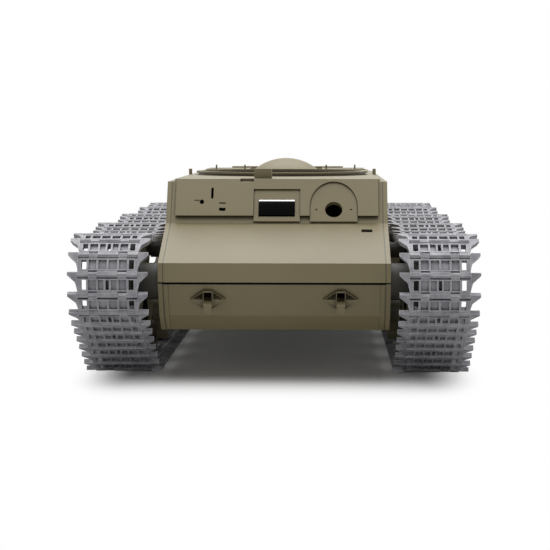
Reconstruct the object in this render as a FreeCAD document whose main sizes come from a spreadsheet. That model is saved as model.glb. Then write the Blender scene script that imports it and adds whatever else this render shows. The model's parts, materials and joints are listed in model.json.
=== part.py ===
import FreeCAD, Part
import math
import os
import re
import Sketcher

# Radio-controlled heavy tank chassis, about one sixteenth of full size, in millimetres.
# +Z is up, the tank faces -Y, and its own left side is +X.
# The origin is on the ground, midway between the tracks' front and rear ends.

SIZES = {
    # hull outline, seen from the side
    "hull_width": 118.7,
    "side_wall": 2.65,
    "hull_wall": 2.8,
    "plate_half": 54.35,
    "flange_step": 2.45,
    "plate_recess": 1.1,
    "belly_height": 27.4,
    "belly_front": 176.9,
    "belly_rear": 186,
    "bend_front": 187.3,
    "bend_height": 35.9,
    "nose_front": 195.2,
    "nose_seam": 53.1,
    "seam_gap": 0.7,
    "side_seam": 68,
    "seam_front": 191.4,
    "seam_slope": 168.5,
    "seam_low": 57.2,
    "nose_lean": 0.8,
    "tail_low": 43,
    "tail_lean": 2,
    "tail_slope": 7,
    "tail_drop": 14,
    "tail_rear": 203,
    "crest_height": 63.6,
    "glacis_rear": 150.6,
    "glacis_top": 81.7,
    "front_lean": 30,
    "front_proud": 2.3,
    "front_foot": 85.7,
    "wall_cut": 131,
    "wall_reach": 40,
    "deck_height": 105,
    "deck_rear": 122,
    "shelf_half": 55.5,
    "shelf_drop": 1.45,
    "tail_top": 96,
    # openings and fittings of the deck
    "ring_radius": 48,
    "ring_centre": -35,
    "ring_lip": 3.6,
    "ring_rise": 2.3,
    "ring_flange": 1.2,
    "ring_undercut": 1.2,
    "ring_relief": 0.9,
    "peg_radius": 1,
    "peg_spread": 55.5,
    "peg_rise": 3.4,
    "hatch_centre": 66,
    "hatch_radius": 22,
    "hatch_opening": 19,
    "hatch_rise": 8.5,
    "hatch_rim": 1.1,
    "hatch_plug": 1,
    "hinge_reach": 26,
    "hinge_half": 4,
    "hinge_cheek": 2.8,
    "hinge_rise": 2.2,
    "hinge_pin": 0.9,
    "hinge_eye": 1.7,
    "grille_width": 28,
    "grille_length": 46,
    "grille_rise": 1.6,
    "grille_spread": 38,
    "cover_radius": 13,
    "cover_step": 2.6,
    "cover_spread": 28,
    "cover_centre": 107,
    # fittings of the front
    "lamp_slot_side": 34.8,
    "lamp_slot_up": 97.4,
    "lamp_slot_width": 1.3,
    "lamp_slot_tall": 5.6,
    "horn_slot_side": 29.2,
    "horn_slot_width": 3.4,
    "horn_slit_up": 92.2,
    "horn_slit_tall": 0.7,
    "horn_slot_up": 88.9,
    "horn_slot_tall": 1.7,
    "wire_side": 40.3,
    "wire_up": 92.8,
    "wire_radius": 1.2,
    "hood_left": 12.6,
    "hood_right": 3.2,
    "hood_front": 133.5,
    "hood_rear": 126,
    "hood_rise": 5.4,
    "notch_width": 7.4,
    "notch_depth": 1.7,
    "notch_rear": 131,
    "drain_inner": 45.1,
    "drain_outer": 50.9,
    "drain_front": 160.6,
    "drain_rear": 157.4,
    "drain_floor": 76,
    "visor_width": 25,
    "visor_tall": 17,
    "visor_centre": 91.1,
    "visor_slot_width": 19.4,
    "visor_slot_tall": 7,
    "visor_slot_drop": 5.95,
    "visor_inset": 1.1,
    "mount_side": 30.5,
    "mount_centre": 89.3,
    "mount_radius": 12.7,
    "mount_hole": 4.65,
    "mount_arch": 1.45,
    "mount_inset": 1.1,
    "mount_drop": 6.7,
    "mount_gap": 0.15,
    "pin_hole_spread": 9.3,
    "pin_hole_radius": 0.5,
    "pin_hole_depth": 1,
    "eye_spread": 34,
    "eye_centre": 45.2,
    "eye_width": 17.8,
    "eye_tall": 10.4,
    "eye_base": 1.6,
    "eye_lug_width": 4.1,
    "eye_lug_top": 0.4,
    "eye_lug_low": 5.4,
    "eye_slot_top": 4.3,
    "eye_lug_reach": 6.4,
    "eye_hole": 1.5,
    "eye_hole_up": 3.6,
    # track
    "link_pitch": 10,
    "link_width": 40.5,
    "link_body_half": 15.2,
    "link_outer": 2.2,
    "link_inner": 1.7,
    "link_skin": 0.4,
    "knuckle_radius": 1.7,
    "foot_half": 0.9,
    "knuckle_gap": 0.1,
    "knuckle_play": 0.2,
    "centre_knuckle": 5.2,
    "comb_split": 9.7,
    "track_pin": 0.6,
    "pin_play": 0.05,
    "window_half": 1.35,
    "window_long": 2.6,
    "rib_width": 0.9,
    "horn_height": 5.6,
    "horn_half": 1.9,
    "wheel_play": 0.05,
    # running gear
    "gauge_half": 83.45,
    "wheel_radius": 18.75,
    "wheel_half": 11.1,
    "groove_half": 4.6,
    "groove_radius": 11,
    "rim_ring": 2.5,
    "dish_depth": 2.9,
    "hub_radius": 6,
    "hub_inset": 1.6,
    "wheel_spacing": 54.75,
    "lightening_radius": 1.8,
    "lightening_circle": 13.2,
    "axle_radius": 2.5,
    "running_gap": 0.05,
    "cap_height": 1.2,
    "arm_length": 21,
    "arm_slope": 40,
    "arm_gap": 0.5,
    "arm_thickness": 6,
    "pivot_boss": 6.5,
    "axle_boss": 5.6,
    "collar_radius": 4.5,
    "arm_web_half": 3.9,
    "pivot_shaft": 3.5,
    "pivot_inset": 5,
    "torsion_radius": 0.8,
    "rib_half": 6,
    "rib_top": 43,
    "anchor_depth": 3.5,
    "idler_radius": 20,
    "idler_collar": 9.5,
    "idler_height": 53.5,
    "idler_travel": 186.4,
    "sprocket_centre": 182.95,
    "sprocket_height": 50.9,
    "sprocket_teeth": 16,
    "tooth_ring": 12,
    "tooth_width": 1.9,
    "tooth_half": 1.8,
    "tooth_tip": 0.9,
    "tooth_reach": 3.6,
    "rim_clearance": 0.15,
    "drum_radius": 15,
    "sprocket_half": 14.5,
    "sprocket_hub": 8,
    "roller_radius": 11,
    "roller_half": 8,
    "roller_spacing": 105,
    "roller_middle": 12,
    # the slack upper run: its pins' height over the rollers and the radius of its sagging curves
    "run_crest": 76.7,
    "sag_radius": 230,
    "roller_groove": 4.4,
    # drive train
    "gear_module": 0.7,
    "gear_width": 4,
    "pinion_teeth": 10,
    "wheel_teeth": 30,
    "small_teeth": 12,
    "gear_play": 0.5,
    "case_wall": 1.3,
    "case_inner": 31.5,
    "gear_shelf": 2,
    "train_angle": 35,
    "shaft_radius": 3,
    "gear_shaft": 1.5,
    "motor_radius": 10,
    "motor_length": 24,
    "motor_shaft": 1,
    "foot_width": 10,
    "foot_reach": 11,
    "foot_length": 5.8,
    # things carried inside
    "tray_half": 33,
    "tray_thickness": 2,
    "tray_front": 135,
    "tray_rear": 126,
    "battery_width": 46,
    "battery_length": 92,
    "battery_tall": 24,
    "board_width": 54,
    "board_length": 44,
    "board_thickness": 1.6,
    "post_radius": 3,
    "post_tall": 12,
    "switch_width": 12,
    "switch_deep": 6,
    "switch_tall": 5,
    "slider_size": 2.4,
    "slider_travel": 2.5,
    "pillar_radius": 4.5,
    "pillar_side": 50,
    "pillar_front": 118,
    "pillar_rear": 130,
    "screw_radius": 1.25,
    "screw_head": 2.8,
    "screw_head_tall": 2,
    "screw_shelf": 6,
    "screw_reach": 14,
    "screw_play": 0.2,
}

DOC = FreeCAD.newDocument("TankChassis")
SHEET = DOC.addObject("Spreadsheet::Sheet", "Sizes")
for row, (alias, number) in enumerate(SIZES.items(), 1):
    SHEET.set("A%d" % row, alias)
    SHEET.set("B%d" % row, str(number))
    SHEET.setAlias("B%d" % row, alias)
DOC.recompute()

V = FreeCAD.Vector
X_AXIS = V(1, 0, 0)
Y_AXIS = V(0, 1, 0)
SIDES = {"left": 1, "right": -1}
NODES = []


def size(alias):
    return float(SHEET.get(alias))


def value(formula):
    return float(SHEET.evalExpression(formula))


def bind(thing, prop, formula):
    # every alias has an underscore, which no function of the formula language has
    thing.setExpression(prop, re.sub(r"\b([a-z]+(?:_[a-z]+)+)\b", r"Sizes.\1", formula))


def node(thing, name):
    thing.Label = name
    NODES.append(thing)
    return thing


# ---- sketches and features -------------------------------------------------------------


def new_body(name):
    return DOC.addObject("PartDesign::Body", name)


def new_sketch(body, name, role):
    sketch = body.newObject("Sketcher::SketchObject", name)
    plane = [feature for feature in body.Origin.OriginFeatures if feature.Role == role][0]
    sketch.AttachmentSupport = (plane, "")
    sketch.MapMode = "FlatFace"
    return sketch


def pin_point(sketch, geometry, position, point):
    for kind, formula in zip(("DistanceX", "DistanceY"), point):
        rule = Sketcher.Constraint(kind, -1, 1, geometry, position, value(formula))
        bind(sketch, "Constraints[%d]" % sketch.addConstraint(rule), formula)


def outline(body, name, role, points):
    sketch = new_sketch(body, name, role)
    places = [V(value(first), value(second), 0) for first, second in points]
    for start, end in zip(places, places[1:] + places[:1]):
        sketch.addGeometry(Part.LineSegment(start, end), False)
    for index, point in enumerate(points):
        following = (index + 1) % len(points)
        sketch.addConstraint(Sketcher.Constraint("Coincident", index, 2, following, 1))
        pin_point(sketch, index, 1, point)
    return sketch


def circles(body, name, role, places, radius):
    sketch = new_sketch(body, name, role)
    for index, (first, second) in enumerate(places):
        centre = V(value(first), value(second), 0)
        sketch.addGeometry(Part.Circle(centre, V(0, 0, 1), value(radius)), False)
        pin_point(sketch, index, 3, (first, second))
        rule = sketch.addConstraint(Sketcher.Constraint("Radius", index, value(radius)))
        bind(sketch, "Constraints[%d]" % rule, radius)
    return sketch


def archway(body, name, middle, half, foot, spring):
    # a doorway with a round top, in the front wall
    sketch = new_sketch(body, name, "XZ_Plane")
    left, right = "%s - %s" % (middle, half), "%s + %s" % (middle, half)
    corners = [(left, spring), (left, foot), (right, foot), (right, spring)]
    places = [V(value(first), value(second), 0) for first, second in corners]
    for start, end in zip(places, places[1:]):
        sketch.addGeometry(Part.LineSegment(start, end), False)
    top = Part.Circle(V(value(middle), value(spring), 0), V(0, 0, 1), value(half))
    sketch.addGeometry(Part.ArcOfCircle(top, 0, math.pi), False)
    for joint in ((0, 2, 1, 1), (1, 2, 2, 1), (2, 2, 3, 1), (3, 2, 0, 1)):
        sketch.addConstraint(Sketcher.Constraint("Coincident", *joint))
    for index, corner in enumerate(corners[:3]):
        pin_point(sketch, index, 1, corner)
    pin_point(sketch, 2, 2, corners[3])
    rule = sketch.addConstraint(Sketcher.Constraint("DistanceY", -1, 1, 3, 3, value(spring)))
    bind(sketch, "Constraints[%d]" % rule, spring)
    return sketch


def rectangle(first, second, third, fourth):
    return [(first, third), (second, third), (second, fourth), (first, fourth)]


def spread(body, kind, sketch, length):
    # a pad or pocket by the same amount on both sides of its sketch
    feature = body.newObject("PartDesign::" + kind, sketch.Name + kind)
    feature.Profile = sketch
    feature.SideType = "Symmetric"
    bind(feature, "Length", length)
    return feature


def lift(body, kind, sketch, base, length):
    # a pad or pocket upwards from a height above its sketch
    sketch.AttachmentOffset = FreeCAD.Placement(V(0, 0, value(base)), FreeCAD.Rotation())
    bind(sketch, "AttachmentOffset.Base.z", base)
    feature = body.newObject("PartDesign::" + kind, sketch.Name + kind)
    feature.Profile = sketch
    feature.Reversed = kind == "Pocket"
    bind(feature, "Length", length)
    return feature


def turn(body, kind, sketch):
    feature = body.newObject("PartDesign::" + kind, sketch.Name + kind)
    feature.Profile = sketch
    feature.ReferenceAxis = (sketch, ["H_Axis"])
    feature.Angle = 360
    return feature


def repeat(body, feature, count):
    pattern = body.newObject("PartDesign::PolarPattern", feature.Name + "Ring")
    pattern.Originals = [feature]
    axis = [line for line in body.Origin.OriginFeatures if line.Role == "X_Axis"][0]
    pattern.Axis = (axis, [""])
    pattern.Angle = 360
    bind(pattern, "Occurrences", count)
    body.Tip = pattern
    return pattern


# ---- primitives ------------------------------------------------------------------------


def place(thing, corner, rotation=None):
    base = V(*[value(formula) for formula in corner])
    thing.Placement = FreeCAD.Placement(base, rotation or FreeCAD.Rotation())
    for axis, formula in zip("xyz", corner):
        bind(thing, "Placement.Base." + axis, formula)
    return thing


def box(name, first, second):
    block = DOC.addObject("Part::Box", name)
    for prop, start, end in zip(("Length", "Width", "Height"), first, second):
        bind(block, prop, "(%s) - (%s)" % (end, start))
    return place(block, first)


def rod(name, radius, start, end, across, up):
    # a cylinder along X
    bar = DOC.addObject("Part::Cylinder", name)
    bind(bar, "Radius", radius)
    bind(bar, "Height", "abs((%s) - (%s))" % (end, start))
    nearest = start if value(start) < value(end) else end
    return place(bar, (nearest, across, up), FreeCAD.Rotation(Y_AXIS, 90))


def post(name, radius, centre, start, end):
    # a cylinder along Z
    bar = DOC.addObject("Part::Cylinder", name)
    bind(bar, "Radius", radius)
    bind(bar, "Height", "(%s) - (%s)" % (end, start))
    return place(bar, (centre[0], centre[1], start))


def fuse(name, things):
    whole = DOC.addObject("Part::MultiFuse", name)
    whole.Shapes = things
    whole.Refine = True
    return whole


def cut(name, base, tools):
    rest = DOC.addObject("Part::Cut", name)
    rest.Base = base
    rest.Tool = tools[0] if len(tools) == 1 else fuse(name + "Tools", tools)
    rest.Refine = True
    return rest


def group(name, things):
    # separate solids that share one node
    parts = DOC.addObject("Part::Compound", name)
    parts.Links = things
    return parts


def feature(name, shape):
    piece = DOC.addObject("Part::Feature", name)
    piece.Shape = shape
    return piece


def at_side(side, formula):
    return formula if side > 0 else "-(%s)" % formula


# ---- places that several pieces share --------------------------------------------------

INNER_HALF = "(hull_width / 2 - side_wall)"
REST = "(link_inner + wheel_play)"
WALL_LEAN = "tan(front_lean)"


def wall_y(height):
    # the sloping front wall, behind its thick plate
    return "-glacis_rear + ((%s) - glacis_top) * %s" % (height, WALL_LEAN)


def wheel_y(index):
    return "%s * wheel_spacing" % (index - (WHEELS - 1) / 2)


def chord_radius(radius):
    # flat links lie on a wheel at their middles, so their pins stand further out
    return "sqrt((%s + %s) ^ 2 + (link_pitch / 2) ^ 2)" % (radius, REST)


def wheel_up(index):
    # the end wheels stand higher by as much as the track bends round them
    if index in (0, WHEELS - 1):
        return "(link_outer + %s)" % chord_radius("wheel_radius")
    return "(link_outer + %s + wheel_radius)" % REST


def pivot_y(index):
    return "%s - arm_length * cos(arm_slope)" % wheel_y(index)


def pivot_up(index):
    return "(%s + arm_length * sin(arm_slope))" % wheel_up(index)


def roller_y(index):
    return "(roller_middle + %s * roller_spacing)" % (index - (ROLLERS - 1) / 2)


WHEELS = 6
ROLLERS = 3
LIGHTENING_HOLES = "8"
GRILLE_SLOTS = 9
# a hub cap's radius as a share of its hub's
CAP_SHARE = " * 0.8"


# ---- track path ------------------------------------------------------------------------


class TrackPath:
    # the pins' closed path: arcs round the wheels, sagging arcs along the upper run between
    # idler, return rollers and sprocket, and straight runs elsewhere

    def __init__(self, idler_y):
        last = value(wheel_y(WHEELS - 1))
        road = value(chord_radius("wheel_radius"))
        road_up = value(wheel_up(0))
        step = math.pi / size("sprocket_teeth")
        saddle = value(chord_radius("roller_radius"))
        saddles = [
            (value(roller_y(index)), size("run_crest") - saddle, saddle)
            for index in range(ROLLERS)
        ]
        self.circles = [
            (idler_y, size("idler_height"), value(chord_radius("idler_radius"))),
            *saddles,
            (size("sprocket_centre"), size("sprocket_height"), size("link_pitch") / 2 / math.sin(step)),
            (last, road_up, road),
            (-last, road_up, road),
        ]
        self.pieces = []
        self.length = 0
        joins = []
        for index in range(len(self.circles)):
            joins.append(self.sag(index) if index <= ROLLERS else self.tangent(index))
        for index, (y, z, radius) in enumerate(self.circles):
            arrive = joins[index - 1][1]
            leave, landing, centre = joins[index]
            while leave > arrive:
                leave -= 2 * math.pi
            self.add("arc", radius * (arrive - leave), (y, z, radius, arrive, -1))
            if centre:
                bend = size("sag_radius")
                self.add("arc", bend * (landing - leave), (*centre, bend, leave + math.pi, 1))
                continue
            y2, z2, radius2 = self.circles[(index + 1) % len(self.circles)]
            start = (y + radius * math.cos(leave), z + radius * math.sin(leave))
            end = (y2 + radius2 * math.cos(leave), z2 + radius2 * math.sin(leave))
            self.add("line", math.dist(start, end), (start, end))

    def neighbours(self, index):
        y1, z1, radius1 = self.circles[index]
        y2, z2, radius2 = self.circles[(index + 1) % len(self.circles)]
        heading = math.atan2(z2 - z1, y2 - y1)
        return (y1, z1, radius1), (y2, z2, radius2), heading, math.dist((y1, z1), (y2, z2))

    def tangent(self, index):
        # angle of the outward normal of the straight run that leaves this circle
        first, second, heading, apart = self.neighbours(index)
        normal = heading + math.acos((first[2] - second[2]) / apart)
        return normal, normal, None

    def sag(self, index):
        # where a sagging arc leaves this circle and lands on the next, and the arc's centre
        first, second, heading, apart = self.neighbours(index)
        near = size("sag_radius") + first[2]
        far = size("sag_radius") + second[2]
        leave = heading + math.acos((near ** 2 + apart ** 2 - far ** 2) / (2 * near * apart))
        centre = (first[0] + near * math.cos(leave), first[1] + near * math.sin(leave))
        landing = math.atan2(centre[1] - second[1], centre[0] - second[0])
        return leave, landing, centre

    def add(self, kind, length, data):
        self.pieces.append((kind, self.length, length, data))
        self.length += length

    def point(self, distance):
        distance %= self.length
        for kind, start, length, data in self.pieces:
            if distance <= start + length:
                break
        along = distance - start
        if kind == "arc":
            y, z, radius, angle, way = data
            angle += way * along / radius
            return (y + radius * math.cos(angle), z + radius * math.sin(angle))
        (y1, z1), (y2, z2) = data
        share = along / length
        return (y1 + (y2 - y1) * share, z1 + (z2 - z1) * share)

    def march(self, count, start):
        # places spaced by the straight distance between neighbouring pins
        pitch = size("link_pitch")
        places = [start]
        for _ in range(count):
            last = self.point(places[-1])
            following = places[-1] + pitch
            for _ in range(6):
                following += pitch - math.dist(last, self.point(following))
            places.append(following)
        return places


def solve_track():
    # the idler slides in its mount until a whole even number of links closes the loop
    pitch = size("link_pitch")
    nominal = TrackPath(-size("idler_travel"))
    count = 2 * round(nominal.length / pitch / 2)
    low = -size("idler_travel") - 2 * pitch
    high = -size("idler_travel") + 2 * pitch
    for _ in range(40):
        middle = (low + high) / 2
        path = TrackPath(middle)
        half_turn = math.asin(pitch / 2 / path.circles[0][2])
        # the first two pins stand evenly above and below the front of the idler
        radius, arrive = path.pieces[0][3][2:4]
        places = path.march(count, (arrive - math.pi - half_turn) * radius)
        if places[-1] - places[0] < path.length:
            low = middle
        else:
            high = middle
    return middle, [path.point(place) for place in places[:count]]


def distance_to_link(spot, start, end):
    run = (end[0] - start[0], end[1] - start[1])
    share = ((spot[0] - start[0]) * run[0] + (spot[1] - start[1]) * run[1]) / math.hypot(*run) ** 2
    share = min(1, max(0, share))
    return math.dist(spot, (start[0] + share * run[0], start[1] + share * run[1]))


def roller_up(index, pins):
    # each roller stands as high as the links that pass over it leave room for
    across = value(roller_y(index))
    reach = value("roller_radius + " + REST)
    high = size("run_crest")
    low = high - 3 * reach
    for _ in range(40):
        middle = (low + high) / 2
        gaps = [distance_to_link((across, middle), *ends) for ends in zip(pins, pins[1:] + pins[:1])]
        if min(gaps) > reach:
            low = middle
        else:
            high = middle
    return str(low)


# ---- hull ------------------------------------------------------------------------------


def front_plate_y(height):
    return "%s - front_proud" % wall_y(height)


def hull_tub(idler_y, pins):
    body = new_body("HullTub")
    profile = [
        ("-nose_front", "nose_seam"),
        ("-bend_front", "bend_height"),
        ("-belly_front", "belly_height"),
        ("belly_rear", "belly_height"),
        ("tail_rear - tail_lean", "tail_low"),
        ("tail_rear", "side_seam"),
        ("-seam_slope", "side_seam"),
        ("-seam_front", "seam_low"),
        ("-seam_front", "nose_seam"),
    ]
    spread(body, "Pad", outline(body, "TubSide", "YZ_Plane", profile), "hull_width")
    cavity = [
        ("-nose_front + hull_wall + plate_recess", "side_seam + hull_wall"),
        ("-nose_front + hull_wall + plate_recess", "nose_seam"),
        ("-bend_front + hull_wall + plate_recess", "bend_height"),
        ("-belly_front + hull_wall", "belly_height + hull_wall"),
        ("belly_rear - hull_wall", "belly_height + hull_wall"),
        ("tail_rear - tail_lean - hull_wall", "tail_low + hull_wall / 2"),
        ("tail_rear - tail_lean - hull_wall", "side_seam + hull_wall"),
    ]
    inside = outline(body, "TubCavity", "YZ_Plane", cavity)
    spread(body, "Pocket", inside, "hull_width - 2 * side_wall")
    # the lower plates are set back between the side plates' stepped edges
    steps = {
        "Step": ("plate_half + flange_step", "plate_recess / 2"),
        "Plate": ("plate_half", "plate_recess"),
    }
    for name, (half, depth) in steps.items():
        band = [
            ("-nose_front + " + depth, "nose_seam"),
            ("-bend_front + " + depth, "bend_height"),
            ("-belly_front + " + depth, "belly_height"),
            ("-nose_front - hull_wall", "belly_height"),
            ("-nose_front - hull_wall", "nose_seam"),
        ]
        spread(body, "Pocket", outline(body, name, "YZ_Plane", band), "2 * (%s)" % half)
    pivots = [(pivot_y(index), pivot_up(index)) for index in range(WHEELS)]
    holes = circles(body, "PivotHoles", "YZ_Plane", pivots, "pivot_shaft + running_gap")
    spread(body, "Pocket", holes, "hull_width")
    axles = [(roller_y(index), roller_up(index, pins)) for index in range(ROLLERS)]
    axles.append((str(idler_y), "idler_height"))
    holes = circles(body, "AxleHoles", "YZ_Plane", axles, "axle_radius")
    spread(body, "Pocket", holes, "hull_width")
    shaft = [("sprocket_centre", "sprocket_height")]
    hole = circles(body, "ShaftHole", "YZ_Plane", shaft, "shaft_radius + running_gap")
    spread(body, "Pocket", hole, "hull_width")
    ends = (pivot_y(0) + " - pivot_boss", pivot_y(WHEELS - 1) + " + pivot_boss")
    keel = rectangle(ends[0], ends[1], "belly_height + hull_wall", "rib_top")
    spread(body, "Pad", outline(body, "KeelRib", "YZ_Plane", keel), "2 * rib_half")
    holes = circles(body, "BarHoles", "YZ_Plane", pivots, "torsion_radius")
    spread(body, "Pocket", holes, "2 * rib_half")
    corners = screw_places()
    pillars = circles(body, "Pillars", "XY_Plane", corners, "pillar_radius")
    floor = "belly_height + hull_wall"
    lift(body, "Pad", pillars, floor, "side_seam - (%s)" % floor)
    holes = circles(body, "ScrewHoles", "XY_Plane", corners, "screw_radius + screw_play")
    lift(body, "Pocket", holes, "belly_height", "side_seam")
    shafts = circles(body, "HeadHoles", "XY_Plane", corners, "screw_head + screw_play")
    lift(body, "Pocket", shafts, "belly_height", "side_seam - screw_shelf - belly_height")
    return node(body, "hull_tub")


def screw_places():
    rows = ("-pillar_front", "pillar_rear")
    return [(at_side(side, "pillar_side"), row) for row in rows for side in SIDES.values()]


def upper_hull():
    body = new_body("UpperHull")
    profile = [
        ("-nose_front", "nose_seam + seam_gap"),
        ("-nose_front + nose_lean", "crest_height"),
        ("-glacis_rear", "glacis_top"),
        (wall_y("deck_height"), "deck_height"),
        ("deck_rear", "deck_height"),
        ("tail_rear - tail_slope", "tail_top"),
        ("tail_rear", "tail_top - tail_drop"),
        ("tail_rear", "side_seam"),
        ("-seam_slope", "side_seam"),
        ("-seam_front", "seam_low"),
        ("-seam_front", "nose_seam + seam_gap"),
    ]
    spread(body, "Pad", outline(body, "HullSide", "YZ_Plane", profile), "hull_width")
    plate = [
        (front_plate_y("front_foot"), "front_foot"),
        (front_plate_y("deck_height"), "deck_height"),
        (wall_y("deck_height"), "deck_height"),
        (wall_y("front_foot"), "front_foot"),
    ]
    spread(body, "Pad", outline(body, "FrontPlate", "YZ_Plane", plate), "2 * plate_half")
    # the side plates end a little below the deck
    for name, near, far in (("Left", "shelf_half", "hull_width"), ("Right", "-hull_width", "-shelf_half")):
        strip = rectangle(near, far, "deck_height - shelf_drop", "deck_height + shelf_drop")
        spread(body, "Pocket", outline(body, "Shelf" + name, "XZ_Plane", strip), "2 * tail_rear")
    cavity = [
        ("-nose_front + hull_wall", "nose_seam"),
        ("-nose_front + hull_wall", "crest_height - hull_wall"),
        ("-glacis_rear + hull_wall", "glacis_top - hull_wall"),
        (wall_y("deck_height") + " + hull_wall", "deck_height - hull_wall"),
        ("deck_rear - hull_wall / 2", "deck_height - hull_wall"),
        ("tail_rear - tail_slope - hull_wall", "tail_top - hull_wall"),
        ("tail_rear - hull_wall", "tail_top - tail_drop - hull_wall / 2"),
        ("tail_rear - hull_wall", "nose_seam"),
    ]
    inside = outline(body, "HullCavity", "YZ_Plane", cavity)
    spread(body, "Pocket", inside, "hull_width - 2 * side_wall")
    roof = "deck_height - hull_wall"
    ring = [("0", "ring_centre")]
    below = "(deck_height + ring_rise - ring_flange)"
    neck = circles(body, "RingNeck", "XY_Plane", ring, "ring_radius + ring_lip - ring_undercut")
    lift(body, "Pad", neck, roof, "%s - (%s)" % (below, roof))
    flange = circles(body, "RingFlange", "XY_Plane", ring, "ring_radius + ring_lip")
    lift(body, "Pad", flange, below, "ring_flange")
    opening = circles(body, "RingOpening", "XY_Plane", ring, "ring_radius")
    lift(body, "Pocket", opening, roof, "hull_wall + ring_rise")
    relief = circles(body, "RingRelief", "XY_Plane", ring, "ring_radius + ring_relief")
    lift(body, "Pocket", relief, roof, "%s - (%s)" % (below, roof))
    pegs = [(at_side(side, "peg_spread"), "ring_centre") for side in SIDES.values()]
    lift(body, "Pad", circles(body, "Pegs", "XY_Plane", pegs, "peg_radius"), roof, "hull_wall + peg_rise")
    hatch = circles(body, "HatchOpening", "XY_Plane", [("0", "hatch_centre")], "hatch_opening")
    lift(body, "Pocket", hatch, roof, "2 * hull_wall")
    bosses = circles(body, "Bosses", "XY_Plane", screw_places(), "pillar_radius")
    lift(body, "Pad", bosses, "side_seam", "%s - side_seam" % roof)
    holes = circles(body, "BossHoles", "XY_Plane", screw_places(), "screw_radius")
    lift(body, "Pocket", holes, "side_seam", "screw_reach")
    half = "visor_width / 2"
    window = rectangle("-" + half, half, "visor_centre - visor_tall / 2", "visor_centre + visor_tall / 2")
    window = outline(body, "VisorWindow", "XZ_Plane", window)
    lift(body, "Pocket", window, "wall_cut", "wall_reach")
    door = archway(body, "MountDoor", "mount_side", "(mount_radius + mount_gap)",
                   "mount_centre - mount_drop", "mount_centre + mount_arch")
    lift(body, "Pocket", door, "wall_cut", "wall_reach")
    # the empty seats of the lamp, its wire and the horn on the tank's right
    seats = {
        "LampSlot": ("lamp_slot_side", "lamp_slot_up", "lamp_slot_width", "lamp_slot_tall"),
        "HornSlit": ("horn_slot_side", "horn_slit_up", "horn_slot_width", "horn_slit_tall"),
        "HornSlot": ("horn_slot_side", "horn_slot_up", "horn_slot_width", "horn_slot_tall"),
    }
    for name, (across, up, wide, tall) in seats.items():
        seat = rectangle("-%s - %s / 2" % (across, wide), "-%s + %s / 2" % (across, wide),
                         "%s - %s / 2" % (up, tall), "%s + %s / 2" % (up, tall))
        lift(body, "Pocket", outline(body, name, "XZ_Plane", seat), "wall_cut", "wall_reach")
    hole = circles(body, "WireHole", "XZ_Plane", [("-wire_side", "wire_up")], "wire_radius")
    lift(body, "Pocket", hole, "wall_cut", "wall_reach")
    # the driver's periscope hood, with a notch beside it in the plate's top edge
    hood = rectangle("-hood_left", "-hood_right", "-hood_front", "-hood_rear")
    lift(body, "Pad", outline(body, "Hood", "XY_Plane", hood), roof, "hull_wall + hood_rise")
    notch = rectangle("-hood_left - notch_width", "-hood_left", "-glacis_rear", "-notch_rear")
    notch = outline(body, "Notch", "XY_Plane", notch)
    lift(body, "Pocket", notch, "deck_height - notch_depth", "2 * notch_depth")
    drain = rectangle("drain_inner", "drain_outer", "-drain_front", "-drain_rear")
    drain = outline(body, "Drain", "XY_Plane", drain)
    lift(body, "Pocket", drain, "drain_floor", "glacis_top - drain_floor")
    return node(body, "upper_hull")


def visor_frame():
    body = new_body("VisorFrame")
    low = "visor_centre - visor_tall / 2"
    high = "visor_centre + visor_tall / 2"
    section = [
        (front_plate_y(low) + " + visor_inset", low),
        (front_plate_y(high) + " + visor_inset", high),
        (wall_y(high) + " + hull_wall", high),
        (wall_y(low) + " + hull_wall", low),
    ]
    spread(body, "Pad", outline(body, "FrameSide", "YZ_Plane", section), "visor_width")
    half = "visor_slot_width / 2"
    foot = "visor_centre - visor_slot_drop"
    slot = rectangle("-" + half, half, foot, foot + " + visor_slot_tall")
    spread(body, "Pocket", outline(body, "Slot", "XZ_Plane", slot), "2 * glacis_rear + 2 * hull_wall")
    return node(body, "visor_frame")


def ball_mount():
    # an arched plug through the front wall, cut to the lean of the plate on both sides
    corner = ("mount_side", front_plate_y("mount_centre"), "mount_centre")
    reach = "2 * mount_radius"
    whole = fuse("MountWhole", [
        post("MountDisc", "mount_radius", ("0", "mount_arch"), "-mount_radius", "mount_radius"),
        box("MountSkirt", ("-mount_radius", "-mount_drop", "-mount_radius"),
            ("mount_radius", "mount_arch", "mount_radius")),
    ])
    below = box("MountBelow", ("-" + reach, "-" + reach, "-" + reach), (reach, "-mount_drop", reach))
    arch = cut("MountArch", whole, [below])
    place(arch, corner, FreeCAD.Rotation(X_AXIS, 90))
    face = "-mount_inset * cos(front_lean)"
    back = "-(front_proud + hull_wall) * cos(front_lean)"
    tools = [
        box("MountFront", ("-" + reach, "-" + reach, face), (reach, reach, reach)),
        box("MountRear", ("-" + reach, "-" + reach, "-" + reach), (reach, reach, back)),
        post("MountBore", "mount_hole", ("0", "0"), back, face),
    ]
    for name, side in SIDES.items():
        spot = (at_side(side, "pin_hole_spread"), "0")
        tools.append(post("PinHole" + name, "pin_hole_radius", spot, face + " - pin_hole_depth", face))
    tools = fuse("MountTools", tools)
    place(tools, corner, FreeCAD.Rotation(X_AXIS, 90 - size("front_lean")))
    return node(cut("BallMount", arch, [tools]), "ball_mount")


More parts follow.
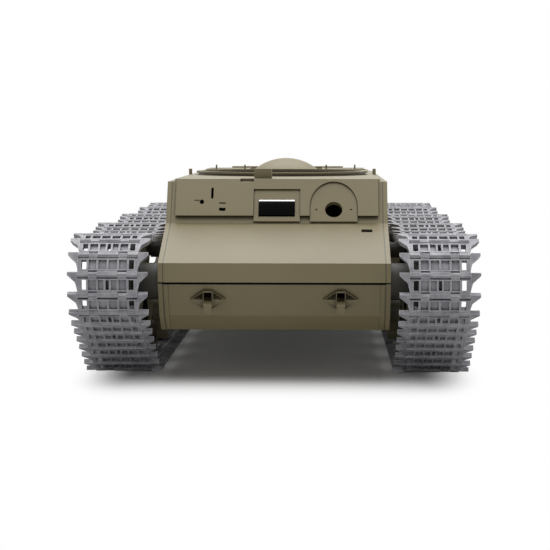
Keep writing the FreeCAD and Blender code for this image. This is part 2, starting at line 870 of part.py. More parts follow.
def tow_eyes():
    rise = size("nose_seam") - size("bend_height")
    reach = size("nose_front") - size("bend_front")
    lean = math.degrees(math.atan2(reach, rise))
    across = "-bend_front - (eye_centre - bend_height) * %s + plate_recess" % (reach / rise)
    wide = size("eye_width") / 2
    tall = size("eye_tall") / 2
    lug = size("eye_lug_width") / 2
    corners = [(-wide, 0), (-lug, -tall), (lug, -tall), (wide, 0), (lug, tall), (-lug, tall)]
    face = Part.Face(Part.makePolygon([V(x, y, 0) for x, y in corners + corners[:1]]))
    base = face.extrude(V(0, 0, size("eye_base")))
    reach = size("eye_lug_reach")
    top, low = -size("eye_lug_top"), -size("eye_lug_low")
    tongue = Part.makeBox(2 * lug, top - low, reach, V(-lug, low, 0))
    slot = Part.makeBox(2 * lug, size("eye_slot_top") - top, reach, V(-lug, top, 0))
    middle = V(-wide, (top + low) / 2, size("eye_hole_up"))
    hole = Part.makeCylinder(size("eye_hole"), 2 * wide, middle, X_AXIS)
    eye = base.cut(slot).fuse(tongue).cut(hole).removeSplitter()
    eyes = []
    for name, side in SIDES.items():
        piece = feature("TowEye" + name, eye)
        place(piece, (at_side(side, "eye_spread"), across, "eye_centre"), FreeCAD.Rotation(X_AXIS, 90 + lean))
        eyes.append(piece)
    return node(group("TowEyes", eyes), "tow_eyes")


# ---- track -----------------------------------------------------------------------------


def mirrored(shape):
    return [shape, shape.mirror(V(0, 0, 0), X_AXIS)]


def slab(x_range, y_range, z_range):
    (x1, x2), (y1, y2), (z1, z2) = x_range, y_range, z_range
    return Part.makeBox(x2 - x1, y2 - y1, z2 - z1, V(x1, y1, z1))


def extrude(points, start, end):
    # an outline in the link's own plane, raised between two heights
    corners = [V(x, y, start) for x, y in points]
    return Part.Face(Part.makePolygon(corners + corners[:1])).extrude(V(0, 0, end - start))


def knuckle(x_range, y):
    # a hinge eye with its square foot on the outer side
    radius = size("knuckle_radius")
    width = x_range[1] - x_range[0]
    eye = Part.makeCylinder(radius, width, V(x_range[0], y, 0), X_AXIS)
    flat = size("foot_half")
    sides = [(-radius, 0), (-radius, -radius / 2), (-flat, -size("link_outer"))]
    sides += [(-across, up) for across, up in reversed(sides)]
    corners = [V(x_range[0], y + across, up) for across, up in sides]
    foot = Part.Face(Part.makePolygon(corners + corners[:1])).extrude(V(width, 0, 0))
    reach = size("link_pitch") / 2 - body_edge()
    inward = (y - reach, y) if y > 0 else (y, y + reach)
    neck = slab(x_range, inward, (-radius, min(size("link_inner"), radius)))
    return eye.fuse([foot, neck])


def body_edge():
    # how far the link's middle reaches towards each pin
    return size("link_pitch") / 2 - size("knuckle_radius") - size("knuckle_gap")


def link_shape(has_horn):
    # X lies across the track, +Y points along it and +Z towards the wheels
    half = size("link_body_half")
    edge = body_edge()
    pin = size("link_pitch") / 2
    outer = -size("link_outer")
    skin = (-size("link_skin"), size("link_inner"))
    ribs = (outer + size("link_skin"), 0)
    rib = size("rib_width")
    window = size("window_half")
    long = size("window_long")
    ring = size("tooth_ring")
    split = size("comb_split")
    play = size("knuckle_play") / 2
    centre = size("centre_knuckle")
    solids = [slab((-half, half), (-edge, edge), skin)]
    # ribs along both edges, beside the windows and round the centre
    for y_range in ((-edge, -long), (long, edge)):
        solids.append(slab((-half, half), y_range, ribs))
    struts = ((ring + window, half), (split, ring - window), (centre - rib / 2, centre + rib / 2))
    for start, end in struts:
        solids += mirrored(slab((start, end), (-long, long), ribs))
    # hinge eyes: a middle one and an outer pair behind, an inner pair in front
    solids.append(knuckle((-centre + play, centre - play), -pin))
    solids += mirrored(knuckle((split + play, half - play), -pin))
    solids += mirrored(knuckle((centre + play, split - play), pin))
    # pointed lugs that carry the full-width bar past the body
    tip = size("link_width") / 2
    lip = pin + size("knuckle_radius") - 2 * play
    base = half + play
    lug = [(half, -long), (base + rib, pin / 4), (tip, pin), (tip, lip)]
    lug += [(base, lip), (base, edge), (half, edge)]
    solids += mirrored(extrude(lug, outer + size("link_skin") / 2, size("link_skin")))
    if has_horn:
        reach = size("horn_half")
        top = size("link_inner") + size("horn_height")
        solids.append(slab((-2 * rib, 2 * rib), (-long, long), ribs))
        corners = ((-reach, -long), (reach, -long), (reach, long), (-reach, long))
        foot = [V(x, y, size("link_inner") - play) for x, y in corners]
        crown = [V(corner.x / 2, corner.y / 3, top) for corner in foot]
        wires = [Part.makePolygon(corners + corners[:1]) for corners in (foot, crown)]
        solids.append(Part.makeLoft(wires, True, True))
    else:
        solids.append(slab((-rib / 2, rib / 2), (-long, long), ribs))
    link = solids[0].fuse(solids[1:])
    bore = size("track_pin") + size("pin_play")
    cuts = [Part.makeCylinder(bore, 2 * tip, V(-tip, y, 0), X_AXIS) for y in (-pin, pin)]
    cuts += mirrored(slab((ring - window, ring + window), (-long, long), (outer, size("link_inner"))))
    if has_horn:
        cuts.append(slab((-rib, rib), (-long + play, long - play), (outer, size("link_inner") + pin / 2)))
    return link.cut(cuts).removeSplitter()


def tracks(pins):
    shapes = [link_shape(True), link_shape(False)]
    length = 2 * size("link_body_half") - size("knuckle_play")
    pin = Part.makeCylinder(size("track_pin"), length, V(-length / 2, 0, 0), X_AXIS)
    pin_copies = []
    for name, side in SIDES.items():
        links = []
        across = side * size("gauge_half")
        for index, (y1, z1) in enumerate(pins):
            y2, z2 = pins[(index + 1) % len(pins)]
            run = math.dist((y1, z1), (y2, z2))
            ahead = V(0, (y2 - y1) / run, (z2 - z1) / run)
            inward = V(0, ahead.z, -ahead.y)
            turned = FreeCAD.Rotation(V(-1, 0, 0), ahead, inward, "ZYX")
            middle = V(across, (y1 + y2) / 2, (z1 + z2) / 2)
            link = shapes[index % 2].copy()
            link.Placement = FreeCAD.Placement(middle, turned)
            links.append(link)
            copy = pin.copy()
            copy.translate(V(across, y1, z1))
            pin_copies.append(copy)
        node(feature("Track" + name, Part.makeCompound(links)), "track_" + name)
    node(feature("TrackPins", Part.makeCompound(pin_copies)), "track_pins")


# ---- running gear ----------------------------------------------------------------------


def side_turn(side):
    # wheels are built for the left side and turned about the vertical for the right
    return FreeCAD.Rotation(V(0, 0, 1), 0 if side > 0 else 180)


def twin_wheel(name, radius, bore):
    # two rims with a groove for the guide horns between them and a dished web each side
    body = new_body(name)
    dish = "wheel_half - dish_depth"
    hub = "wheel_half - hub_inset"
    section = [
        ("-(%s)" % hub, bore),
        ("-(%s)" % hub, "hub_radius"),
        ("-(%s)" % dish, "hub_radius"),
        ("-(%s)" % dish, radius + " - rim_ring"),
        ("-wheel_half", radius + " - rim_ring"),
        ("-wheel_half", radius),
        ("-groove_half", radius),
        ("-groove_half", "groove_radius"),
        ("groove_half", "groove_radius"),
        ("groove_half", radius),
        ("wheel_half", radius),
        ("wheel_half", radius + " - rim_ring"),
        (dish, radius + " - rim_ring"),
        (dish, "hub_radius"),
        (hub, "hub_radius"),
        (hub, bore),
    ]
    turn(body, "Revolution", outline(body, name + "Section", "XY_Plane", section))
    holes = circles(body, name + "Hole", "YZ_Plane", [("0", "lightening_circle")], "lightening_radius")
    repeat(body, spread(body, "Pocket", holes, "2 * wheel_half"), LIGHTENING_HOLES)
    return body


def hub_cap(name):
    start = "wheel_half - hub_inset"
    return rod(name, "hub_radius" + CAP_SHARE, start, start + " + cap_height", "0", "0")


def place_wheel(body, cap, name, side, across, up):
    whole = group(body.Name + "Group", [body, cap])
    place(whole, (at_side(side, "gauge_half"), across, up), side_turn(side))
    return node(whole, name)


def road_wheel(side, name, index):
    body = twin_wheel("RoadWheel%s%d" % (name, index + 1), "wheel_radius", "axle_radius + running_gap")
    cap = hub_cap(body.Name + "Cap")
    number = "road_wheel_%s_%d" % (name, index + 1)
    return place_wheel(body, cap, number, side, wheel_y(index), wheel_up(index))


def idler_wheel(side, name, idler_y):
    body = twin_wheel("Idler" + name, "idler_radius", "axle_radius + running_gap")
    cap = hub_cap(body.Name + "Cap")
    return place_wheel(body, cap, "idler_wheel_" + name, side, str(idler_y), "idler_height")


def return_roller(side, name, index, pins):
    body = new_body("Roller%s%d" % (name, index + 1))
    hub = "roller_half + hub_inset"
    waist = "roller_radius - horn_height - link_inner"
    section = [
        ("-(%s)" % hub, "axle_radius + running_gap"),
        ("-(%s)" % hub, waist),
        ("-roller_half", waist),
        ("-roller_half", "roller_radius"),
        ("-roller_groove", "roller_radius"),
        ("-roller_groove", waist),
        ("roller_groove", waist),
        ("roller_groove", "roller_radius"),
        ("roller_half", "roller_radius"),
        ("roller_half", waist),
        (hub, waist),
        (hub, "axle_radius + running_gap"),
    ]
    turn(body, "Revolution", outline(body, body.Name + "Section", "XY_Plane", section))
    cap = rod(body.Name + "Cap", "(%s)" % waist + CAP_SHARE, hub, hub + " + cap_height", "0", "0")
    number = "return_roller_%s_%d" % (name, index + 1)
    return place_wheel(body, cap, number, side, roller_y(index), roller_up(index, pins))


def axle_end():
    # the axles stop short of the hub caps
    return "gauge_half + wheel_half - hub_inset - running_gap"


def swing_arm(side, name, index):
    tag = "Arm%s%d" % (name, index + 1)
    near = at_side(side, "(hull_width / 2 + arm_gap)")
    far = at_side(side, "(hull_width / 2 + arm_gap + arm_thickness)")
    across, up = pivot_y(index), pivot_up(index)
    wheel = (wheel_y(index), wheel_up(index))
    inset = at_side(side, "(hull_width / 2 - pivot_inset)")
    collar = at_side(side, "(gauge_half - wheel_half + hub_inset - arm_gap / 2)")
    web = box(tag + "Web", ("0", "0", "-arm_web_half"), ("arm_thickness", "arm_length", "arm_web_half"))
    corner = near if side > 0 else far
    turned = FreeCAD.Rotation(X_AXIS, -size("arm_slope"))
    place(web, (
        corner,
        "%s - arm_web_half * sin(arm_slope)" % across,
        "%s - arm_web_half * cos(arm_slope)" % up,
    ), turned)
    arm = fuse(tag + "Forging", [
        web,
        rod(tag + "Pivot", "pivot_boss", near, far, across, up),
        rod(tag + "Shaft", "pivot_shaft", inset, far, across, up),
        rod(tag + "Boss", "axle_boss", near, far, *wheel),
        rod(tag + "Collar", "collar_radius", near, collar, *wheel),
        rod(tag + "Axle", "axle_radius", near, at_side(side, "(%s)" % axle_end()), *wheel),
    ])
    bore = rod(tag + "Bore", "torsion_radius", inset, near, across, up)
    return node(cut(tag, arm, [bore]), "swing_arm_%s_%d" % (name, index + 1))


def torsion_bars():
    bars = []
    for name, side in SIDES.items():
        start = at_side(side, "(rib_half - anchor_depth)")
        end = at_side(side, "(hull_width / 2)")
        for index in range(WHEELS):
            place_of_bar = (pivot_y(index), pivot_up(index))
            bars.append(rod("Bar%s%d" % (name, index), "torsion_radius", start, end, *place_of_bar))
    return node(group("TorsionBars", bars), "torsion_bars")


def fixed_axles(idler_y, pins):
    spots = [(roller_y(index), roller_up(index, pins)) for index in range(ROLLERS)]
    spots.append((str(idler_y), "idler_height"))
    axles = []
    for name, side in SIDES.items():
        for index, (across, up) in enumerate(spots):
            hub = "roller_half + hub_inset" if index < ROLLERS else "wheel_half - hub_inset"
            start = at_side(side, INNER_HALF)
            skin = at_side(side, "(hull_width / 2)")
            collar = "collar_radius" if index < ROLLERS else "idler_collar"
            shoulder = at_side(side, "(gauge_half - (%s) - arm_gap / 2)" % hub)
            end = at_side(side, "(gauge_half + %s - running_gap)" % hub)
            axles.append(fuse("Axle%s%d" % (name, index), [
                rod("AxleRod%s%d" % (name, index), "axle_radius", start, end, across, up),
                rod("AxleCollar%s%d" % (name, index), collar, skin, shoulder, across, up),
            ]))
    return node(group("FixedAxles", axles), "fixed_axles")


# ---- drive train -----------------------------------------------------------------------

TIP = "gear_module * (wheel_teeth / 2 + 1)"
# height over the pitch circle in modules and half the tooth's width there in pitches
TOOTH = ((-1.25, 0.3), (0, 0.21), (0.95, 0.1))
CASE_RADIUS = "(%s + gear_play + case_wall)" % TIP
LAYSHAFT = "gear_module * (small_teeth + wheel_teeth) / 2"
MOTOR_REACH = "gear_module * (pinion_teeth + wheel_teeth) / 2"


def train_axes():
    # the output axle, the layshaft ahead of it and above, and the motor level with that
    layshaft = (
        "(sprocket_centre - %s * cos(train_angle))" % LAYSHAFT,
        "(sprocket_height + %s * sin(train_angle))" % LAYSHAFT,
    )
    motor = ("(%s - %s)" % (layshaft[0], MOTOR_REACH), layshaft[1])
    return ("sprocket_centre", "sprocket_height"), layshaft, motor


def gear_planes():
    first = "(case_inner + case_wall + gear_shelf)"
    return first, "(%s + gear_width + gear_shelf)" % first


def gear(name, side, teeth, plane, axis, phase):
    # straight-sided teeth, thinner than their gaps; one tooth points along the phase
    module = size("gear_module")
    pitch = 2 * math.pi / teeth
    radius = module * teeth / 2
    heights = [(radius + rise * module, half * pitch) for rise, half in TOOTH]
    flank = [(reach, -half) for reach, half in heights]
    flank += [(reach, half) for reach, half in heights[::-1]]
    start = side * value(plane)
    corners = []
    for index in range(teeth):
        for reach, angle in flank:
            angle += phase + index * pitch
            corners.append(V(start, reach * math.cos(angle), reach * math.sin(angle)))
    shape = Part.Face(Part.makePolygon(corners + corners[:1])).extrude(V(side * size("gear_width"), 0, 0))
    wheel = feature(name, shape)
    place(wheel, ("0", axis[0], axis[1]))
    return wheel


def heading(start, end):
    return math.atan2(value(end[1]) - value(start[1]), value(end[0]) - value(start[0]))


def opposite(angle, teeth):
    # a gap faces the tooth that comes along this angle
    return angle + math.pi + math.pi / teeth


def drive_train(side, name):
    output, layshaft, motor = train_axes()
    first, second = gear_planes()
    wheel_teeth = round(size("wheel_teeth"))
    driven = heading(motor, layshaft)
    final = heading(layshaft, output)
    inner = at_side(side, "case_inner")
    wall = at_side(side, "(case_inner + case_wall)")
    outer = at_side(side, INNER_HALF)
    lining = at_side(side, "(%s - case_wall)" % INNER_HALF)
    node(fuse("Pinion" + name, [
        gear("PinionGear" + name, side, round(size("pinion_teeth")), first, motor, driven),
        rod("PinionShaft" + name, "motor_shaft", at_side(side, "(case_inner - motor_length + case_wall)"),
            at_side(side, "(%s + gear_width)" % first), *motor),
    ]), "motor_pinion_" + name)
    node(fuse("Reduction" + name, [
        gear("Large" + name, side, wheel_teeth, first, layshaft, opposite(driven, wheel_teeth)),
        gear("Small" + name, side, round(size("small_teeth")), second, layshaft, final),
        rod("Lay" + name, "gear_shaft", inner, at_side(side, "(%s - running_gap)" % INNER_HALF), *layshaft),
    ]), "reduction_gear_" + name)
    node(fuse("Output" + name, [
        gear("Final" + name, side, wheel_teeth, second, output, opposite(final, wheel_teeth)),
        rod("Half" + name, "shaft_radius", inner, at_side(side, "(gauge_half + sprocket_half)"), *output),
    ]), "drive_shaft_" + name)
    bores = {"motor_shaft": motor, "gear_shaft": layshaft, "shaft_radius": output}

    def bearings(tag, start, end):
        return [rod(tag + alias.split("_")[0] + name, alias + " + running_gap", start, end, *axis)
                for alias, axis in bores.items()]

    def lobes(tag, start, end, less):
        small = "(gear_module * (pinion_teeth / 2 + 1) + gear_play + case_wall)"
        radii = {CASE_RADIUS: (output, layshaft), small: (motor,)}
        bars = [rod("%s%s%d" % (tag, name, len(radius) + index), radius + less, start, end, *axis)
                for radius, axes in radii.items() for index, axis in enumerate(axes)]
        return fuse(tag + name, bars)

    ends = [at_side(side, "(case_inner + foot_width)"), at_side(side, "(case_inner + 2 * foot_width)")]
    foot = box("Foot" + name, (
        ends[0 if side > 0 else 1],
        "sprocket_centre - foot_reach",
        "belly_height + hull_wall",
    ), (
        ends[1 if side > 0 else 0],
        "sprocket_centre - foot_reach + foot_length",
        "sprocket_height - %s / 2" % CASE_RADIUS,
    ))
    shell = fuse("CaseBlank" + name, [lobes("CaseOuter", wall, outer, ""), foot])
    hollow = lobes("CaseInner", wall, lining, " - case_wall")
    case = cut("Case" + name, shell, [hollow] + bearings("CaseBore", inner, outer))
    cover = cut("Cover" + name, lobes("CoverBlank", inner, wall, ""), bearings("CoverBore", inner, outer))
    node(group("Gearbox" + name, [case, cover]), "gearbox_" + name)
    can = rod("Can" + name, "motor_radius", inner, at_side(side, "(case_inner - motor_length)"), *motor)
    core = rod("CanBore" + name, "motor_shaft + running_gap", inner,
               at_side(side, "(case_inner - motor_length + case_wall)"), *motor)
    return cut("Motor" + name, can, [core])


def drive_sprocket(side, name, pins):
    body = new_body("Sprocket" + name)
    rim = "(link_pitch / 2 / tan(180 / sprocket_teeth) - link_inner - rim_clearance)"
    tip = rim + " + tooth_reach"
    inside = "(tooth_ring - tooth_width / 2)"
    outside = "(tooth_ring + tooth_width / 2)"
    half = [
        (inside, "drum_radius"),
        (inside, rim),
        (outside, rim),
        (outside, "sprocket_hub"),
        ("sprocket_half", "sprocket_hub"),
        ("sprocket_half", "shaft_radius"),
    ]
    section = [("-" + across, up) for across, up in half[::-1]] + half
    turn(body, "Revolution", outline(body, body.Name + "Section", "XY_Plane", section))
    tooth = [
        ("-tooth_half", rim + " - link_inner"),
        ("tooth_half", rim + " - link_inner"),
        ("tooth_half", rim + " + link_inner"),
        ("tooth_tip", tip),
        ("-tooth_tip", tip),
        ("-tooth_half", rim + " + link_inner"),
    ]
    teeth = spread(body, "Pad", outline(body, body.Name + "Tooth", "YZ_Plane", tooth), "2 * " + outside)
    repeat(body, teeth, "sprocket_teeth")
    between = rectangle("-" + inside, inside, "drum_radius", tip + " + link_inner")
    turn(body, "Groove", outline(body, body.Name + "Groove", "XY_Plane", between))
    middle = "(%s + drum_radius) / 2" % rim
    holes = circles(body, body.Name + "Hole", "YZ_Plane", [("0", middle)], "lightening_radius")
    repeat(body, spread(body, "Pocket", holes, "2 * sprocket_half"), LIGHTENING_HOLES)
    start = at_side(side, "sprocket_half")
    end = at_side(side, "(sprocket_half + cap_height)")
    cap = rod(body.Name + "Cap", "sprocket_hub" + CAP_SHARE, start, end, "0", "0")
    whole = group(body.Name + "Group", [body, cap])
    # the teeth stand midway between the pins that lie on the sprocket
    centre = (size("sprocket_centre"), size("sprocket_height"))
    rear = max(pins)
    angle = math.degrees(math.atan2(rear[1] - centre[1], rear[0] - centre[0]))
    turned = FreeCAD.Rotation(X_AXIS, angle + 180 / size("sprocket_teeth") - 90)
    place(whole, (at_side(side, "gauge_half"), "sprocket_centre", "sprocket_height"), turned)
    return node(whole, "drive_sprocket_" + name)


# ---- things on the deck and inside -----------------------------------------------------


def engine_hatch():
    lug = "(hatch_centre + hinge_reach)"
    inner = "(hatch_radius - hatch_rim)"
    cap = "(hatch_rise - hatch_rim)"
    ball = "(%s ^ 2 + %s ^ 2) / (2 * %s)" % (inner, cap, cap)
    dome = DOC.addObject("Part::Sphere", "HatchBall")
    bind(dome, "Radius", ball)
    place(dome, ("0", "hatch_centre", "deck_height + hatch_rise - %s" % ball))
    spot = ("0", "hatch_centre")
    column = post("HatchColumn", inner, spot, "deck_height", "deck_height + hatch_rise")
    crown = DOC.addObject("Part::Common", "HatchCrown")
    crown.Base = dome
    crown.Tool = column
    top = "deck_height + hatch_rim"
    arm_half = "hinge_half - running_gap"
    up = "deck_height + hinge_rise"
    blank = fuse("HatchBlank", [
        crown,
        post("HatchRim", "hatch_radius", spot, "deck_height", top),
        post("HatchPlug", "hatch_opening - hatch_plug", spot, "deck_height - hatch_rim", top),
        box("HatchArm", ("-(%s)" % arm_half, "hatch_centre + " + inner, "deck_height"), (arm_half, lug, top)),
        rod("HatchEye", "hinge_eye", "-(%s)" % arm_half, arm_half, lug, up),
    ])
    bore = rod("HatchBore", "hinge_pin + running_gap", "-hinge_half", "hinge_half", lug, up)
    return node(cut("EngineHatch", blank, [bore]), "engine_hatch")


def deck_covers():
    pieces = []
    for name, side in SIDES.items():
        middle = at_side(side, "grille_spread")
        half = "grille_width / 2"
        front = "hatch_centre - grille_length / 2"
        top = "deck_height + grille_rise"
        frame = box("Grille" + name, ("%s - %s" % (middle, half), front, "deck_height"),
                    ("%s + %s" % (middle, half), front + " + grille_length", top))
        slots = []
        for index in range(GRILLE_SLOTS):
            # bars and slots are equally wide, with half a bar more at each end
            start = "%s + (%d + 0.75) * grille_length / %d" % (front, index, GRILLE_SLOTS + 1)
            end = "%s + grille_length / %d" % (start, 2 * (GRILLE_SLOTS + 1))
            slots.append(box("Slot%s%d" % (name, index), (
                "%s - %s + grille_rise" % (middle, half), start, "deck_height + grille_rise / 2",
            ), (
                "%s + %s - grille_rise" % (middle, half), end, top,
            )))
        pieces.append(cut("GrilleCut" + name, frame, slots))
        spot = (at_side(side, "cover_spread"), "cover_centre")
        pieces.append(fuse("Cover" + name + "Disc", [
            post("CoverRim" + name, "cover_radius", spot, "deck_height", "deck_height + hatch_rim"),
            post("CoverTop" + name, "cover_radius - cover_step", spot, "deck_height",
                 "deck_height + 2 * hatch_rim"),
        ]))
    lug = "(hatch_centre + hinge_reach)"
    up = "(deck_height + hinge_rise)"
    cheeks = []
    for side in SIDES.values():
        near, far = at_side(side, "hinge_half"), at_side(side, "(hinge_half + hinge_cheek)")
        left, right = (near, far) if side > 0 else (far, near)
        cheeks.append(box("Cheek%d" % (side + 1), (left, lug + " - hinge_eye", "deck_height"),
                          (right, lug + " + hinge_eye", up + " + hinge_eye")))
    ends = "(hinge_half + hinge_cheek)"
    cheeks.append(rod("HatchPin", "hinge_pin", "-" + ends, ends, lug, up))
    pieces.append(fuse("HatchBracket", cheeks))
    return node(group("DeckCovers", pieces), "deck_covers")


def equipment_tray():
    deck = "rib_top + tray_thickness"
    plate = box("TrayPlate", ("-tray_half", "-tray_front", "rib_top"), ("tray_half", "tray_rear", deck))
    inset = "2 * post_radius"
    posts = [
        post("TrayPost%d%d" % (column, row), "post_radius", (
            "%d * (board_width / 2 - %s)" % (column, inset),
            "hatch_centre + %d * (board_length / 2 - %s)" % (row, inset),
        ), "rib_top", deck + " + post_tall")
        for column in (-1, 1) for row in (-1, 1)
    ]
    return node(fuse("Tray", [plate] + posts), "equipment_tray")


def battery_pack():
    low = "rib_top + tray_thickness"
    half = "battery_width / 2"
    block = box("Battery", ("-" + half, "ring_centre - battery_length / 2", low),
                (half, "ring_centre + battery_length / 2", low + " + battery_tall"))
    return node(block, "battery_pack")


# each part's place in shares of the board and its height in switch heights
CHIPS = ((-0.3, -0.3, 0.4), (0.3, -0.3, 1.6), (0.3, 0.32, 1), (-0.3, 0.32, 1))


def control_board():
    low = "(rib_top + tray_thickness + post_tall)"
    top = "(%s + board_thickness)" % low
    half = "board_width / 2"
    board = box("Board", ("-" + half, "hatch_centre - board_length / 2", low),
                (half, "hatch_centre + board_length / 2", top))
    crest = "(%s + switch_tall)" % top
    reach = "switch_width / 2"
    deep = "switch_deep / 2"
    corner = (reach, "hatch_centre + " + deep, crest)
    case = box("SwitchCase", ("-" + reach, "hatch_centre - " + deep, top), corner)
    run = "((slider_size + slider_travel) / 2 + running_gap)"
    wide = "(slider_size / 2 + running_gap)"
    slot = box("SwitchSlot", ("-" + run, "hatch_centre - " + wide, crest + " - slider_size"),
               (run, "hatch_centre + " + wide, crest))
    chips = []
    for index, (across, along, tall) in enumerate(CHIPS):
        middle = "(%s * board_width)" % across
        row = "(hatch_centre + %s * board_length)" % along
        chips.append(box("Chip%d" % index, (
            middle + " - switch_deep", row + " - switch_deep / 2", top,
        ), (
            middle + " + switch_deep", row + " + switch_deep / 2", top + " + %s * switch_tall" % tall,
        )))
    return node(group("ControlBoard", [board, cut("SwitchBody", case, [slot])] + chips), "control_board")


def power_switch():
    crest = "(rib_top + tray_thickness + post_tall + board_thickness + switch_tall)"
    start = "-(slider_size + slider_travel) / 2"
    half = "slider_size / 2"
    knob = box("Slider", (start, "hatch_centre - " + half, crest + " - slider_size"),
               (start + " + slider_size", "hatch_centre + " + half, crest + " + slider_size"))
    return node(knob, "power_switch")


def hull_screws():
    screws = []
    shelf = "side_seam - screw_shelf"
    for index, spot in enumerate(screw_places()):
        screws.append(fuse("Screw%d" % index, [
            post("ScrewHead%d" % index, "screw_head", spot, shelf + " - screw_head_tall", shelf),
            post("ScrewShank%d" % index, "screw_radius", spot, shelf, "side_seam + screw_reach - hull_wall"),
        ]))
    return node(group("Screws", screws), "hull_screws")


# ---- model -----------------------------------------------------------------------------


def main():
    idler_y, pins = solve_track()
    hull_tub(idler_y, pins)
    upper_hull()
    visor_frame()
    ball_mount()
    tow_eyes()
    engine_hatch()
    deck_covers()
    equipment_tray()
    battery_pack()
    control_board()
    power_switch()
    hull_screws()
    tracks(pins)
    torsion_bars()
    fixed_axles(idler_y, pins)
    motors = []
    for name, side in SIDES.items():
        motors.append(drive_train(side, name))
        drive_sprocket(side, name, pins)
        idler_wheel(side, name, idler_y)
        for index in range(ROLLERS):
            return_roller(side, name, index, pins)
        for index in range(WHEELS):
            swing_arm(side, name, index)
            road_wheel(side, name, index)
    node(group("Motors", motors), "drive_motors")


def write_parts():
    DOC.recompute()
    for thing in DOC.Objects:
        for state in ("Invalid", "Error"):
            if state in thing.State:
                raise RuntimeError("%s is %s" % (thing.Name, state))
    os.makedirs("parts", exist_ok=True)
    for piece in NODES:
        if piece.Shape.isNull() or not piece.Shape.isValid():
            raise RuntimeError("%s has a faulty shape" % piece.Label)
        piece.Shape.exportStep("parts/%s.step" % piece.Label)


main()
write_parts()
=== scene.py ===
import json
from math import cos, radians, tan
import bpy
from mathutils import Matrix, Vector


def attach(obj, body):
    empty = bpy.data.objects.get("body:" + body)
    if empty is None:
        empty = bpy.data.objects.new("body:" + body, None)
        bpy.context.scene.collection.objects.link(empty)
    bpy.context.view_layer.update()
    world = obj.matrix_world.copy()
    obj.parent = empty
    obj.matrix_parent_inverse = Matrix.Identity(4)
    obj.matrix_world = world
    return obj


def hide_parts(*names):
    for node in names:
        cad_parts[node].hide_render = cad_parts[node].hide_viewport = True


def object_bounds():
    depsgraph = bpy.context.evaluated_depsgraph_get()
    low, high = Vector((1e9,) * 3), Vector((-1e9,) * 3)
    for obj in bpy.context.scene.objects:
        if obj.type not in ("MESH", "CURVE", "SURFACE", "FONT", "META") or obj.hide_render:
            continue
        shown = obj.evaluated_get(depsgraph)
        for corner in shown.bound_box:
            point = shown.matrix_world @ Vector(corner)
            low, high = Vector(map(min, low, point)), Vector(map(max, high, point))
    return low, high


# Looks of a radio-controlled tank chassis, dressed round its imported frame.
# Lengths are in metres, and mm turns a number of millimetres into them.

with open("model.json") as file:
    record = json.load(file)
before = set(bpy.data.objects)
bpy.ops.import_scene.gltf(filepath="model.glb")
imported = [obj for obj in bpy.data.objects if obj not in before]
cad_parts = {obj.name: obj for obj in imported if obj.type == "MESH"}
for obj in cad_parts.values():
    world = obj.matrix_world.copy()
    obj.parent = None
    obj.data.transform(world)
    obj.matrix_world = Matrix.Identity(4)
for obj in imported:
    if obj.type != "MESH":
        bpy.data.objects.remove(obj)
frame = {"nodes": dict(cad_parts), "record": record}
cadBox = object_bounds()
mm = 0.001
print("frame loaded:", len(frame["nodes"]), "nodes")


def linearColour(hexText):  # "#rrggbb" as it looks on screen, to what Blender works in
    shares = [int(hexText[i : i + 2], 16) / 255 for i in (1, 3, 5)]
    shares = [s / 12.92 if s <= 0.04045 else ((s + 0.055) / 1.055) ** 2.4 for s in shares]
    return (*shares, 1.0)


def addNode(tree, kind, inputs=None, **settings):
    made = tree.nodes.new(kind)
    for name, setting in settings.items():
        setattr(made, name, setting)
    for socket, given in (inputs or {}).items():
        if isinstance(given, bpy.types.NodeSocket):
            tree.links.new(given, made.inputs[socket])
        else:
            made.inputs[socket].default_value = given
    return made


def selectOnly(obj):
    bpy.ops.object.select_all(action="DESELECT")
    obj.select_set(True)
    bpy.context.view_layer.objects.active = obj


def applyModifier(obj, kind, **settings):
    selectOnly(obj)
    modifier = obj.modifiers.new(kind.title(), kind)
    for name, setting in settings.items():
        setattr(modifier, name, setting)
    bpy.ops.object.modifier_apply(modifier=modifier.name)


def smoothUpTo(obj, degrees):  # faces that meet at less than this angle shade as one
    selectOnly(obj)
    bpy.ops.object.shade_smooth_by_angle(angle=radians(degrees))


def finishPiece(obj, body, material, slot, *stoodFor):
    selectOnly(obj)
    bpy.ops.object.transform_apply(location=True, rotation=True, scale=True)
    obj.data.materials.clear()
    obj.data.materials.append(material)
    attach(obj, body)
    if stoodFor:
        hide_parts(*stoodFor)


cameraSettings = {
    "place": (0.02511, -1.00895, 0.12819),
    "turn": 1.733,  # degrees towards the tank's own right
    "tilt": 4.948,  # degrees downwards
    "lens": 105.26,  # mm
    "sensorWidth": 36,  # mm
    "nearest": 0.05,
    "farthest": 50,
}


def makeCamera():
    tilt = radians(90 - cameraSettings["tilt"])
    turn = radians(cameraSettings["turn"])
    bpy.ops.object.camera_add(location=cameraSettings["place"], rotation=(tilt, 0, turn))
    camera = bpy.context.object
    camera.data.lens = cameraSettings["lens"]
    camera.data.sensor_width = cameraSettings["sensorWidth"]
    camera.data.clip_start = cameraSettings["nearest"]
    camera.data.clip_end = cameraSettings["farthest"]
    bpy.context.scene.camera = camera


white = (1, 1, 1, 1)
lightSettings = {
    "softboxPlace": (0.0, 0.3, 1.5),
    "softboxWidth": 1.6,
    "softboxLength": 2.4,
    "softboxPower": 26.0,  # watts
    "room": 0.25,  # strength of the even light from all round
    "backdrop": 1.0,  # strength of the white that is seen directly, in gloss or through glass
}


def makeSoftbox():  # one large softbox, which hangs overhead and points straight down
    bpy.ops.object.light_add(type="AREA", location=lightSettings["softboxPlace"])
    lamp = bpy.context.object
    lamp.name = "overhead"
    lamp.data.shape = "RECTANGLE"
    lamp.data.size = lightSettings["softboxWidth"]
    lamp.data.size_y = lightSettings["softboxLength"]
    lamp.data.energy = lightSettings["softboxPower"]


